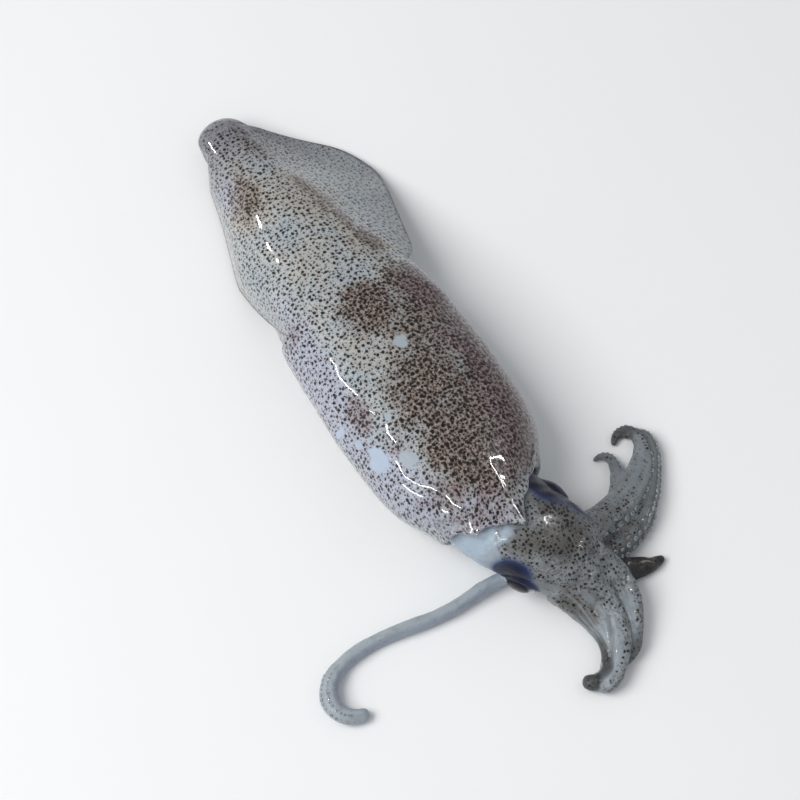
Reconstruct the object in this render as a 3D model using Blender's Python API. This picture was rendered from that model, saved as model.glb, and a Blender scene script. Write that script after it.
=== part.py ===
"""A whole raw squid lying belly down on a flat surface, dorsal side up.

+X runs from the tail tip to the arms, +Y is the animal's left and +Z is up.  The
origin lies under the middle of the whole.  Four sub-parts: the mantle with its two
fins, the head with neck, funnel, eight arms and two tentacles, and the two eyes.
Everything is drawn in millimetres with X from the tail tip, then set in metres.
"""

import math

import bmesh
import bpy
import numpy as np
from mathutils import Matrix, Vector

MM = 0.001

# Mantle: a flattened bag, blunt at the tail, open at the neck.
MANTLE_LENGTH = 150.0  # tail tip to the point of the lobe over the neck
MANTLE_WIDTH = 47.0
MANTLE_HEIGHT = 32.0
RIM_X = 137.5  # the edge of the mantle at its sides
RIM_WALL = 2.2
POCKET_DEPTH = 12.0  # how far the mantle stands free of the neck
TAIL_ROUND = 6.0
TAIL_BEND = 1.8  # the tail tip swings this far to the left
BELLY_FLAT = 0.9  # the weight of the body presses this much of the belly flat
ROLL = 6.5  # degrees that the back leans to the left
# X, then half-width and height as shares of the greatest.
MANTLE_PROFILE = (
    (0, 0.29, 0.25),
    (12, 0.34, 0.35),
    (25, 0.43, 0.49),
    (45, 0.64, 0.70),
    (70, 0.88, 0.91),
    (108, 1.00, 1.00),
    (127, 0.93, 0.95),
    (RIM_X, 0.75, 0.84),
)
# The edge runs forward in a lobe over the neck and in two points beside the funnel.  The
# lobe falls back steeply on the left and slowly on the right, because the head turns left.
LOBE_LEFT = (68.0, 2.0)  # degrees from its point to where it ends, and its hollowness
LOBE_RIGHT = (110.0, 0.9)
SIDE_POINT = 2.0
SIDE_POINT_ANGLE = 140.0
SIDE_POINT_SPREAD = 22.0

# Fins: soft flaps from the upper flanks, joined at the tail, drooping to the surface.
FIN_EDGE = 1.3  # thickness at the edge
# Share of the fin's length, then width as a share of the greatest.
FIN_PROFILE = (
    (0.0, 0.0),
    (0.09, 0.08),
    (0.2, 0.42),
    (0.32, 0.84),
    (0.47, 1.0),
    (0.64, 0.93),
    (0.82, 0.65),
    (0.94, 0.3),
    (1.0, 0.0),
)
# Length, greatest width from root to edge, upper and lower root in degrees from the
# back, how much steeper the flap gets from root to edge, how far its front lobe reaches
# past its root, and whether the edge tucks in at the surface or lies out along it.
LEFT_FIN = {
    "side": 1,
    "length": 67.0,
    "width": 24.4,
    "root": 50.0,
    "under": 92.0,
    "droop": -18.0,
    "lobe": 2.0,
    "tucks": False,
}
RIGHT_FIN = {
    "side": -1,
    "length": 74.0,
    "width": 22.0,
    "root": 50.0,
    "under": 122.0,
    "droop": 66.0,
    "lobe": 6.0,
    "tucks": True,
}

# Head: its spine runs out of the mantle and turns to the left.
# X, Y, Z of the middle, then half-width and half-height.
HEAD_SPINE = (
    (130.0, 0.0, 13.4, 13.2, 8.8),
    (137.0, 0.1, 13.4, 14.3, 10.2),
    (144.0, 1.8, 12.8, 13.7, 11.0),
    (150.5, 4.8, 12.2, 12.8, 11.4),
    (156.5, 8.3, 11.2, 12.2, 10.4),
    (161.5, 11.4, 9.6, 11.0, 8.4),
)
HEAD_END_ROUND = 3.5
FUNNEL_START = (136.0, 0.5, 9.0)
FUNNEL_END = (157.0, 6.5, 3.8)
FUNNEL_RADII = (5.2, 3.4)

# Eyes: low domes in sockets on both sides of the head, which leans to its right.
EYE_RADII = (5.6, 4.3, 5.0)  # along the head, sideways, upwards
EYE_INSET = 2.2  # the eye's middle lies this far inside the head's side
EYE_GAP = 0.35
# Side, place along the head's spine, height of the middle.
EYES = {
    "eye_left": (1, 0.57, 12.5),
    "eye_right": (-1, 0.68, 9.0),
}

# Arms: they leave the front of the head in a flat fan and come to rest on the surface.
CROWN = (159.5, 10.2)
CROWN_HEADING = 31.0
ARM_RADIUS = 4.2
ARM_TIP_RADIUS = 0.9
ARM_FALL = 0.45  # share of its length over which an arm comes down
# Sideways place and height of the root, length, headings in degrees from +X at the
# root, quarter, half, three-quarter points and tip, and the height of what it lies on.
ARMS = {
    "arm_left_1": (2.5, 12.0, 39.0, (32, 24, -3, -38, -72), 4.0),
    "arm_left_2": (6.0, 10.5, 33.5, (76, 100, 119, 152, 245), 2.5),
    "arm_left_3": (7.0, 8.0, 38.5, (76, 102, 121, 150, 240), 0.0),
    "arm_left_4": (1.0, 6.0, 57.0, (44, 98, 126, 152, 270), 0.0),
    "arm_right_1": (-1.5, 12.0, 40.0, (16, 9, -4, -48, -70), 4.5),
    "arm_right_2": (-5.0, 10.0, 38.0, (18, 14, -2, -50, -84), 3.5),
    "arm_right_3": (-8.0, 7.0, 35.5, (24, 20, 2, -54, -104), 0.0),
    "arm_right_4": (1.5, 5.0, 25.0, (24, 34, 52, 72, 88), 0.0),
}

# Tentacles: thin even stalks with a longer, flat club at the end.
STALK_RADIUS = 1.6
CLUB_RADIUS = 2.5
CLUB_SHARE = 0.24  # of the tentacle's length
TENTACLES = {
    "tentacle_left": (-4.0, 5.0, 37.0, (12, 8, 0, -40, -110), 0.0),
    "tentacle_right": (-5.0, 4.5, 82.0, (-146, -90, -102, -72, 30), 0.0),
}

# Facets.
TOP_FACETS = 9
FLAP_FACETS = 5
BELLY_FACETS = 13
ARM_SIDES = 8
HEAD_SIDES = 26

# Finish of each sub-part: linear colour, roughness.
SKIN = ((0.30, 0.30, 0.33), 0.25)
HEAD_SKIN = ((0.36, 0.41, 0.46), 0.25)
EYE_DARK = ((0.015, 0.02, 0.05), 0.08)


def smooth_step(value):
    value = min(max(value, 0.0), 1.0)
    return value * value * (3 - 2 * value)


def curve_through(stations, column):
    """A smooth function through a table's first column and the given one."""
    xs = np.array([row[0] for row in stations], float)
    ys = np.array([row[column] for row in stations], float)
    slopes = np.gradient(ys, xs)

    def value(x):
        x = min(max(x, xs[0]), xs[-1])
        i = min(int(np.searchsorted(xs, x, side="right")) - 1, len(xs) - 2)
        span = xs[i + 1] - xs[i]
        t = (x - xs[i]) / span
        start, end = ys[i], ys[i + 1]
        pull = slopes[i] * span * t * (1 - t) ** 2 - slopes[i + 1] * span * t * t * (1 - t)
        return float(start + (end - start) * smooth_step(t) + pull)

    return value


half_width_share = curve_through(MANTLE_PROFILE, 1)
height_share = curve_through(MANTLE_PROFILE, 2)
fin_share = curve_through(FIN_PROFILE, 1)


def body_size(x):
    """Half-width, height and sideways place of the mantle at x."""
    past_tip = min(x / TAIL_ROUND, 1.0)
    end = math.sqrt(max(1 - (1 - past_tip) ** 2, 0.0))
    half_width = MANTLE_WIDTH / 2 * half_width_share(x) * end
    height = MANTLE_HEIGHT * height_share(x) * end
    middle = TAIL_BEND * (1 - min(x / 70, 1.0)) ** 2
    return half_width, height, middle


def body_point(x, angle, wall=0.0):
    """Y and Z of the mantle's outline, the angle in degrees from straight up to the left."""
    half_width, height, middle = body_size(x)
    tail_height = MANTLE_HEIGHT * height_share(x)
    a = math.radians(angle)
    y = middle + (half_width - wall) * math.sin(a)
    reach = height / 2 - wall
    centre = tail_height / 2
    down = reach + (BELLY_FLAT if wall == 0 else 0)
    z = centre + (reach if math.cos(a) > 0 else down) * math.cos(a)
    return y, max(z, wall)


def fin_root(x, fin):
    """Y, Z and downward slope in degrees of the body where the fin's upper face starts."""
    angle = fin["side"] * fin["root"] + ROLL
    half_width, height, _ = body_size(x)
    a = math.radians(abs(angle))
    slope = math.degrees(math.atan2(height / 2 * math.sin(a), half_width * math.cos(a)))
    y, z = body_point(x, angle)
    return y, z, slope


def fin_spread(x, fin):
    """Width of the fin from root to edge; one that tucks in ends where it meets the surface."""
    spread = fin["width"] * max(fin_share(min(x / fin["length"], 1.0)), 0.0)
    if not fin["tucks"]:
        return spread
    _, z, slope = fin_root(x, fin)
    start, end = math.radians(slope), math.radians(slope + fin["droop"])
    drop_per_mm = (math.cos(start) - math.cos(end)) / (end - start)
    return min(spread, max(z - FIN_EDGE, 0.0) / drop_per_mm)


def flap_path(x, fin, share):
    """Y, Z and slope of the fin's upper face, from its root at 0 to its edge at 1."""
    y, z, slope = fin_root(x, fin)
    steps = 12
    length = fin_spread(x, fin) * share / steps
    lean = math.radians(slope)
    for i in range(steps):
        lean = math.radians(slope + fin["droop"] * share * (i + 0.5) / steps)
        room = max(z - FIN_EDGE, 0.0)
        if length * math.sin(lean) > room:
            lean = math.asin(room / length)
        y += fin["side"] * length * math.cos(lean)
        z -= length * math.sin(lean)
    return y, z, math.degrees(lean)


def flap_point(x, fin, share, upper):
    """A point of the fin: X, Y and Z, on its upper or lower face."""
    side = fin["side"]
    spread = fin_spread(x, fin)
    around = share / 2 if upper else 1 - share / 2
    angle = side * (fin["root"] + (fin["under"] - fin["root"]) * around) + ROLL
    body_y, body_z = body_point(x, angle)
    y, z, slope = flap_path(x, fin, share)
    if not upper:
        y -= side * FIN_EDGE * math.sin(math.radians(slope))
        z -= FIN_EDGE * math.cos(math.radians(slope))
        under_y, under_z = body_point(x, side * fin["under"] + ROLL)
        blend = share**0.6
        y = under_y + (y - under_y) * blend
        z = under_z + (z - under_z) * blend
    grown = smooth_step(spread / 4)
    front = smooth_step((x / fin["length"] - 0.55) / 0.4)
    forward = fin["lobe"] * front * share * smooth_step(spread / 6)
    y = body_y + (y - body_y) * grown
    z = body_z + (z - body_z) * grown
    return Vector((x + forward, y, max(z, 0.0)))


def edge_offset(angle):
    """How far the mantle's edge stands forward of its sides, by degrees from the back."""
    angle = (angle - ROLL + 180) % 360 - 180
    lobe_end, hollow = LOBE_LEFT if angle > 0 else LOBE_RIGHT
    angle = abs(angle)
    lobe = (MANTLE_LENGTH - RIM_X) * max(1 - angle / lobe_end, 0.0) ** hollow
    side = SIDE_POINT * math.exp(-(((angle - SIDE_POINT_ANGLE) / SIDE_POINT_SPREAD) ** 2))
    return lobe + side


def mantle_ring(x, wall=0.0, forward=0.0, reach=None):
    """One ring of the mantle's surface, fins included, in order round the body."""
    if reach is None:
        reach = smooth_step((x - 98) / (RIM_X - 98))

    def on_body(angle):
        y, z = body_point(x, angle, wall)
        return Vector((x + reach * edge_offset(angle) + forward, y, z))

    def flap(fin, share, upper):
        angle = fin["side"] * (
            fin["root"] + (fin["under"] - fin["root"]) * (share / 2 if upper else 1 - share / 2)
        )
        if fin_spread(x, fin) <= 0:
            return on_body(angle + ROLL)
        return flap_point(x, fin, share, upper)

    ring = []
    for i in range(TOP_FACETS):
        ring.append(on_body(ROLL + LEFT_FIN["root"] * (2 * i / TOP_FACETS - 1)))
    for i in range(FLAP_FACETS):
        ring.append(flap(LEFT_FIN, i / FLAP_FACETS, True))
    for i in range(FLAP_FACETS):
        ring.append(flap(LEFT_FIN, 1 - i / FLAP_FACETS, False))
    around = 360 - LEFT_FIN["under"] - RIGHT_FIN["under"]
    for i in range(BELLY_FACETS):
        ring.append(on_body(ROLL + LEFT_FIN["under"] + around * i / BELLY_FACETS))
    for i in range(FLAP_FACETS):
        ring.append(flap(RIGHT_FIN, i / FLAP_FACETS, False))
    for i in range(FLAP_FACETS):
        ring.append(flap(RIGHT_FIN, 1 - i / FLAP_FACETS, True))
    return ring


def loft(name, rings):
    """A closed mesh object through rings of equal count, capped with a fan at each end."""
    bm = bmesh.new()
    rows = [[bm.verts.new(p * MM) for p in ring] for ring in rings]
    for near, far in zip(rows, rows[1:]):
        for i in range(len(near)):
            j = (i + 1) % len(near)
            bm.faces.new((near[i], near[j], far[j], far[i]))
    for row, flip in ((rows[0], True), (rows[-1], False)):
        middle = bm.verts.new(sum((v.co for v in row), Vector()) / len(row))
        for i in range(len(row)):
            j = (i + 1) % len(row)
            bm.faces.new((row[j], row[i], middle) if flip else (row[i], row[j], middle))
    bmesh.ops.triangulate(bm, faces=bm.faces[:])
    bmesh.ops.recalc_face_normals(bm, faces=bm.faces[:])
    mesh = bpy.data.meshes.new(name)
    bm.to_mesh(mesh)
    bm.free()
    mesh.shade_smooth()
    piece = bpy.data.objects.new(name, mesh)
    bpy.context.scene.collection.objects.link(piece)
    return piece


def finish(piece, look):
    colour, roughness = look
    material = bpy.data.materials.new(piece.name)
    material.use_nodes = True
    shader = material.node_tree.nodes["Principled BSDF"]
    shader.inputs["Base Color"].default_value = (*colour, 1.0)
    shader.inputs["Roughness"].default_value = roughness
    shader.inputs["Metallic"].default_value = 0.0
    piece.data.materials.append(material)
    return piece


def make_mantle():
    tail = [0.12, 0.7, 1.9, 3.6, 6.0]
    fins = list(np.arange(9.0, 75.0, 3.0))
    body = list(np.linspace(78.0, RIM_X, 11))
    rings = [mantle_ring(x) for x in tail + fins + body]
    rings.append(mantle_ring(RIM_X, wall=RIM_WALL * 0.45, forward=0.9))
    for share in (0.0, 0.35, 0.7, 1.0):
        inside = RIM_X - share * POCKET_DEPTH
        rings.append(mantle_ring(inside, wall=RIM_WALL, reach=1 - share))
    return finish(loft("mantle", rings), SKIN)


def along_head(share):
    """Middle, heading, half-width and half-height of the head, from neck 0 to crown 1."""
    stations = [(i / (len(HEAD_SPINE) - 1), *row) for i, row in enumerate(HEAD_SPINE)]
    x, y, z, half_width, half_height = (
        curve_through(stations, column)(share) for column in range(1, 6)
    )
    step = 0.02
    ahead, behind = min(share + step, 1.0), max(share - step, 0.0)
    dx = curve_through(stations, 1)(ahead) - curve_through(stations, 1)(behind)
    dy = curve_through(stations, 2)(ahead) - curve_through(stations, 2)(behind)
    return Vector((x, y, z)), math.atan2(dy, dx), half_width, half_height


def oval_ring(middle, heading, half_width, half_height, sides):
    """A ring across the heading, facing along it."""
    across = Vector((-math.sin(heading), math.cos(heading), 0))
    up = Vector((0, 0, 1))
    turns = [2 * math.pi * i / sides for i in range(sides)]
    return [
        middle + across * half_width * math.cos(t) + up * half_height * math.sin(t) for t in turns
    ]


def make_head_core():
    rings = []
    for share in (0.0, 0.1, 0.2, 0.32, 0.42, 0.52, 0.62, 0.72, 0.82, 0.92, 1.0):
        middle, heading, half_width, half_height = along_head(share)
        if share == 0.0:
            half_width, half_height = half_width * 0.85, half_height * 0.85
        rings.append(oval_ring(middle, heading, half_width, half_height, HEAD_SIDES))
    middle, heading, half_width, half_height = along_head(1.0)
    ahead = Vector((math.cos(heading), math.sin(heading), 0))
    for turn in (30, 60):
        reach = HEAD_END_ROUND * math.sin(math.radians(turn))
        narrow = 0.5 + 0.5 * math.cos(math.radians(turn))
        rings.append(
            oval_ring(
                middle + ahead * reach, heading, half_width * narrow, half_height * narrow, HEAD_SIDES
            )
        )
    return loft("head", rings)


def make_funnel():
    start, end = Vector(FUNNEL_START), Vector(FUNNEL_END)
    heading = math.atan2(end.y - start.y, end.x - start.x)
    rings = []
    for i in range(5):
        share = i / 4
        radius = FUNNEL_RADII[0] + (FUNNEL_RADII[1] - FUNNEL_RADII[0]) * share
        rings.append(oval_ring(start.lerp(end, share), heading, radius * 1.15, radius, 12))
    return loft("funnel", rings)


def route(root_side, root_height, length, headings, rest, radius_at, count):
    """Points and headings of an arm: it swings as its headings say and falls to its rest."""
    quarters = [(i / (len(headings) - 1), h) for i, h in enumerate(headings)]
    heading_at = curve_through(quarters, 1)
    turn = math.radians(CROWN_HEADING)
    x = CROWN[0] - root_side * math.sin(turn)
    y = CROWN[1] + root_side * math.cos(turn)
    step = length / (count - 1)
    points = []
    for i in range(count):
        share = i / (count - 1)
        down = radius_at(share) + rest * (1 - share) ** 0.7
        fall = 1 - smooth_step(share / ARM_FALL)
        height = down + (root_height - down) * fall
        points.append((Vector((x, y, height)), math.radians(heading_at(share)), share))
        ahead = math.radians(heading_at(share + 0.5 / (count - 1)))
        x += step * math.cos(ahead)
        y += step * math.sin(ahead)
    return points


def arm_radius(share):
    return ARM_TIP_RADIUS + (ARM_RADIUS - ARM_TIP_RADIUS) * (1 - share) ** 0.7


def tentacle_radius(share):
    club = (share - 1 + CLUB_SHARE) / CLUB_SHARE
    if club <= 0:
        return STALK_RADIUS
    swell = math.sin(math.pi * club * 0.8) ** 0.8
    narrow = STALK_RADIUS + (ARM_TIP_RADIUS - STALK_RADIUS) * club
    return narrow + (CLUB_RADIUS - STALK_RADIUS) * swell


def make_limb(name, table_row, radius_at, count):
    """An arm or tentacle along its route, with a round tip."""
    rings = []
    for middle, heading, share in route(*table_row, radius_at, count):
        radius = radius_at(share)
        rings.append(oval_ring(middle, heading, radius, radius, ARM_SIDES))
    ahead = Vector((math.cos(heading), math.sin(heading), 0))
    for turn in (35, 70):
        reach = radius * math.sin(math.radians(turn))
        narrow = radius * math.cos(math.radians(turn))
        rings.append(oval_ring(middle + ahead * reach, heading, narrow, narrow, ARM_SIDES))
    return loft(name, rings)


def make_eye(name, side, along, height, grow=0.0):
    """A dome in the head's side: an ellipsoid turned to the head's heading."""
    middle, heading, half_width, _ = along_head(along)
    across = Vector((-math.sin(heading), math.cos(heading), 0))
    place = middle + across * side * (half_width - EYE_INSET)
    place.z = height
    bm = bmesh.new()
    bmesh.ops.create_uvsphere(bm, u_segments=20, v_segments=12, radius=1.0)
    for v in bm.verts:
        v.co = Vector((r + grow) * c for r, c in zip(EYE_RADII, v.co))
    bmesh.ops.triangulate(bm, faces=bm.faces[:])
    mesh = bpy.data.meshes.new(name)
    bm.to_mesh(mesh)
    bm.free()
    mesh.transform(Matrix.Scale(MM, 4))
    mesh.shade_smooth()
    eye = bpy.data.objects.new(name, mesh)
    bpy.context.scene.collection.objects.link(eye)
    eye.location = place * MM
    eye.rotation_euler.z = heading
    return eye


def guide_collection(name, pieces):
    """Pieces that a Boolean uses: they leave the scene's own collection and don't render."""
    group = bpy.data.collections.new(name)
    bpy.context.scene.collection.children.link(group)
    for piece in pieces:
        bpy.context.scene.collection.objects.unlink(piece)
        group.objects.link(piece)
        piece.hide_render = True
        piece.display_type = "WIRE"
    return group


def combine(piece, operation, group):
    boolean = piece.modifiers.new(group.name, "BOOLEAN")
    boolean.operation = operation
    boolean.operand_type = "COLLECTION"
    boolean.collection = group
    boolean.solver = "EXACT"
    return boolean


def make_head():
    head = finish(make_head_core(), HEAD_SKIN)
    limbs = [make_funnel()]
    limbs += [make_limb(name, row, arm_radius, 15) for name, row in ARMS.items()]
    limbs += [make_limb(name, row, tentacle_radius, 22) for name, row in TENTACLES.items()]
    sockets = [make_eye(name + "_socket", *row, EYE_GAP) for name, row in EYES.items()]
    combine(head, "UNION", guide_collection("limbs", limbs))
    combine(head, "DIFFERENCE", guide_collection("sockets", sockets))
    return head


def centre_on_origin():
    """Move everything so that the whole's box stands on the origin."""
    bpy.context.view_layer.update()
    depsgraph = bpy.context.evaluated_depsgraph_get()
    corners = []
    for piece in bpy.context.scene.objects:
        if piece.type == "MESH" and not piece.hide_render:
            whole = piece.evaluated_get(depsgraph)
            corners += [whole.matrix_world @ v.co for v in whole.data.vertices]
    places = np.array(corners)
    low, high = places.min(axis=0), places.max(axis=0)
    shift = Vector((-(low[0] + high[0]) / 2, -(low[1] + high[1]) / 2, -low[2]))
    for piece in bpy.context.scene.objects:
        piece.location += shift


def main():
    for old in list(bpy.data.objects):
        bpy.data.objects.remove(old)
    make_mantle()
    make_head()
    for name, row in EYES.items():
        finish(make_eye(name, *row), EYE_DARK)
    centre_on_origin()


main()
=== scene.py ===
import math
from collections import namedtuple

import bpy
import numpy as np
from mathutils import Matrix, Vector, noise
from mathutils.bvhtree import BVHTree


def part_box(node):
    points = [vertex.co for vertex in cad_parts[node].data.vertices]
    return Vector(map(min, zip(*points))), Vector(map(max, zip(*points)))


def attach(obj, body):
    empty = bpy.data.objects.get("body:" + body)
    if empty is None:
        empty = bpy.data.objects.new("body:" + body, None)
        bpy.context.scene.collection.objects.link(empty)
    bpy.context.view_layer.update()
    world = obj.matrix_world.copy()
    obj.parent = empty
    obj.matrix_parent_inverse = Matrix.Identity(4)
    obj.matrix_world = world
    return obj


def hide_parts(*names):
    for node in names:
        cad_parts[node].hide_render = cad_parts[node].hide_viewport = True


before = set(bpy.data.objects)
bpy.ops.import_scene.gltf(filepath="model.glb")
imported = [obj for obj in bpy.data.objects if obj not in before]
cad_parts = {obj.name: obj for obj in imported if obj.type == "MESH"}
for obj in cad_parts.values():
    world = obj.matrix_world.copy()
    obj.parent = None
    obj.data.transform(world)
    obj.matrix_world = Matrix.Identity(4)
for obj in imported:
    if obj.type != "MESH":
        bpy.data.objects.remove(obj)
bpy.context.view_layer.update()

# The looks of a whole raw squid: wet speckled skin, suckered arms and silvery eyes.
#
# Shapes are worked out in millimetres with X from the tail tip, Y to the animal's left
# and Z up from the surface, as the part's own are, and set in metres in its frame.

MM = 0.001
UP = np.array((0.0, 0.0, 1.0))

# The mantle, by the part's own measures.
MANTLE_LENGTH = 150.0
MANTLE_WIDTH = 47.0
MANTLE_HEIGHT = 32.0
RIM_X = 137.5
RIM_WALL = 2.2
POCKET_DEPTH = 12.0
TAIL_ROUND = 6.0
TAIL_BEND = 1.8
BELLY_FLAT = 0.9
ROLL = 6.5
MANTLE_PROFILE = (
    (0, 0.29, 0.25),
    (12, 0.34, 0.35),
    (25, 0.43, 0.49),
    (45, 0.64, 0.70),
    (70, 0.88, 0.91),
    (108, 1.00, 1.00),
    (127, 0.93, 0.95),
    (RIM_X, 0.75, 0.84),
)
LOBE_LEFT = (68.0, 2.0)
LOBE_RIGHT = (110.0, 0.9)
SIDE_POINT = 2.0
SIDE_POINT_ANGLE = 140.0
SIDE_POINT_SPREAD = 22.0

# Fins.  The right one has the part's own measures, and the left one is fitted closer to
# the photo.  Ease is the share of the body's slope that a fin starts with, and taper is
# how much its front is narrowed.
FIN_THICK = 1.3
FIN_THIN = 0.4  # at the very edge
FIN_PROFILE = (
    (0.0, 0.0),
    (0.09, 0.08),
    (0.2, 0.42),
    (0.32, 0.84),
    (0.47, 1.0),
    (0.64, 0.93),
    (0.82, 0.65),
    (0.94, 0.3),
    (1.0, 0.0),
)
Fin = namedtuple("Fin", "side length width root under droop lobe ease taper tucks")
LEFT_FIN = Fin(1, 72.5, 24.6, 50, 92, -12, 2, 0.82, 0.28, False)
RIGHT_FIN = Fin(-1, 74, 22, 50, 122, 66, 6, 1, 0, True)

# Head and funnel, by the part's own measures, and eyes with flatter domes.
HEAD_SPINE = (
    (130.0, 0.0, 13.4, 13.2, 8.8),
    (137.0, 0.1, 13.4, 14.3, 10.2),
    (144.0, 1.8, 12.8, 13.7, 11.0),
    (150.5, 4.8, 12.2, 12.8, 11.4),
    (156.5, 8.3, 11.2, 12.2, 10.4),
    (161.5, 11.4, 9.6, 11.0, 8.4),
)
HEAD_END_ROUND = 3.5
FUNNEL_START = np.array((136.0, 0.5, 9.0))
FUNNEL_END = np.array((157.0, 6.5, 3.8))
FUNNEL_RADII = (5.2, 3.4)
FUNNEL_FLAT = 1.15  # its width over its height
# The funnel's hollow mouth: share of its length, and how far inside its outer skin.
FUNNEL_MOUTH = ((1.0, 0.5), (0.99, 0.9), (0.9, 1.0), (0.8, 1.1), (0.72, 1.8))
EYE_RADII = (5.6, 3.5, 5.0)  # along the head, sideways, upwards
EYE_INSET = 2.2
EYES = {
    "eye_left": (1, 0.57, 12.5),
    "eye_right": (-1, 0.68, 9.0),
}

# Limbs: sideways place and height of the root, length, headings in degrees from +X at
# the root, quarter, half, three-quarter points and tip, height of what the limb lies on,
# degrees that its tip curls, and where its suckers face, in degrees up from its right.
# The numbers bend the limbs more closely after the photo than the part's own do.
Limb = namedtuple("Limb", "side height length headings rest curl suckers")
ARMS = {
    "arm_left_1": Limb(2.5, 12, 37, (24, 25, -12, -34, -55), 4, -50, -20),
    "arm_left_2": Limb(6, 10.5, 33.5, (76, 108, 134, 155, 195), 2.5, 90, -12),
    "arm_left_3": Limb(7, 8, 46, (80, 105, 124, 160, 292), 0, 40, -4),
    "arm_left_4": Limb(1, 6, 53.5, (56, 93, 128, 145, 170), 0, 100, 20),
    "arm_right_1": Limb(-1.5, 12, 37, (14, 9, -8, -38, -60), 4.5, -40, -30),
    "arm_right_2": Limb(-5, 10, 34, (14, 15, -4, -38, -62), 3.5, -40, -72),
    "arm_right_3": Limb(-8, 7, 33, (24, 17, -3, -42, -90), 0, -40, -78),
    "arm_right_4": Limb(1.5, 5, 25, (27, 42, 60, 74, 86), 0, 10, -70),
}
TENTACLES = {
    "tentacle_left": Limb(-4, 5, 35, (11, 8, -4, -42, -90), 0, -40, -20),
    "tentacle_right": Limb(-5, 4.5, 82, (-146, -90, -102, -72, 30), 0, 60, 50),
}
LIMBS = ARMS | TENTACLES
LIMB_NAMES = list(LIMBS)
CROWN = (159.5, 10.2)
CROWN_HEADING = 31.0
ARM_RADIUS = 4.2
ARM_TIP_RADIUS = 0.9
ARM_FALL = 0.45
STALK_RADIUS = 1.6
CLUB_RADIUS = 2.5
CLUB_SHARE = 0.24
CURL_SHARE = 0.2  # the share of a limb that curls at its tip
LIMB_EXTRA = 0.22  # melting the tubes together wears this much off a limb's radius
LIMB_PLUMP = 0.16  # the arms' extra girth at the middle of their length
# How some limbs thin out and swell: share along the limb, and factor on the radius.
EVEN = ((0.0, 1.0), (1.0, 1.0))
LIMB_SWELLS = {
    "arm_left_1": ((0.0, 1.0), (0.5, 0.84), (0.8, 0.9), (1.0, 1.0)),
    "arm_left_2": ((0.0, 1.0), (0.3, 0.88), (0.5, 0.62), (0.8, 0.6), (1.0, 0.62)),
    "arm_left_3": ((0.0, 1.0), (0.6, 0.96), (0.85, 0.78), (1.0, 0.78)),
    "arm_left_4": ((0.0, 1.0), (0.4, 0.86), (0.8, 0.86), (1.0, 1.0)),
    "arm_right_1": ((0.0, 1.0), (0.7, 0.92), (0.84, 0.98), (0.92, 1.3), (1.0, 1.9)),
    "arm_right_2": ((0.0, 1.0), (0.5, 0.9), (0.75, 0.72), (1.0, 0.8)),
    "arm_right_3": ((0.0, 1.0), (0.8, 0.95), (0.92, 1.25), (1.0, 1.9)),
}
# Webs between neighbouring arms, and the share of the arms that they reach.
WEBS = (
    ("arm_right_3", "arm_right_2", 0.7),
    ("arm_right_2", "arm_right_1", 0.6),
    ("arm_right_1", "arm_left_1", 0.5),
    ("arm_left_1", "arm_left_2", 0.42),
    ("arm_left_2", "arm_left_3", 0.34),
    ("arm_left_3", "arm_left_4", 0.72),
)
WEB_SIDES = (0.86, -0.35)  # upper and lower faces, in arm radii from the arms' middles
SUCKER_START = 0.16
SUCKER_END = 0.97
SUCKER_RADII = (0.88, 0.28)  # at the arm's root and at its tip
SUCKER_SPREAD = 27.0  # degrees of each row from the middle of the sucker side
# A sucker's outline from foot to hollow: distance from its axis, and height.
SUCKER_PROFILE = ((0.62, -0.55), (0.95, -0.1), (1.0, 0.25), (0.82, 0.5), (0.6, 0.42), (0.5, 0.12))

# How finely the skins are drawn: points round the mantle, millimetres and numbers of
# rings along it, then the head's voxels, and spans and sides of its tubes.
TOP_POINTS = 50
FLAP_POINTS = 34
FLAP_STEPS = 12
BELLY_POINTS = 60
RING_STEP = 0.62
TAIL_RINGS = 15
EDGE_RINGS = 7
POCKET_RINGS = 15
RIM_RINGS = 5  # before the pocket's, where the colour of the rim sets in
HEAD_VOXEL = 0.42
HEAD_SPANS, HEAD_SIDES = 48, 96
FUNNEL_SPANS, FUNNEL_SIDES = 23, 40
ARM_ROWS, TENTACLE_ROWS, LIMB_SIDES = 110, 160, 28
WEB_SPANS, WEB_ROWS = 12, 24
SUCKER_SIDES = 10
EYE_ROWS, EYE_SIDES = 60, 64
BATCH = 20000  # points measured at a time

# Relief of the mantle: length and height of its soft waves, and shallow dents by X,
# degrees from straight up, radius and depth.
RIM_CURL = 1.3  # how far the mantle's edge draws in towards the neck
MANTLE_WAVES = ((14.0, 0.34), (5.0, 0.07))
DENTS = (
    (136.5, 17, 5, 0.3),
    (98, -44, 8, 0.2),
    (84, 62, 7, 0.4),
)
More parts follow.
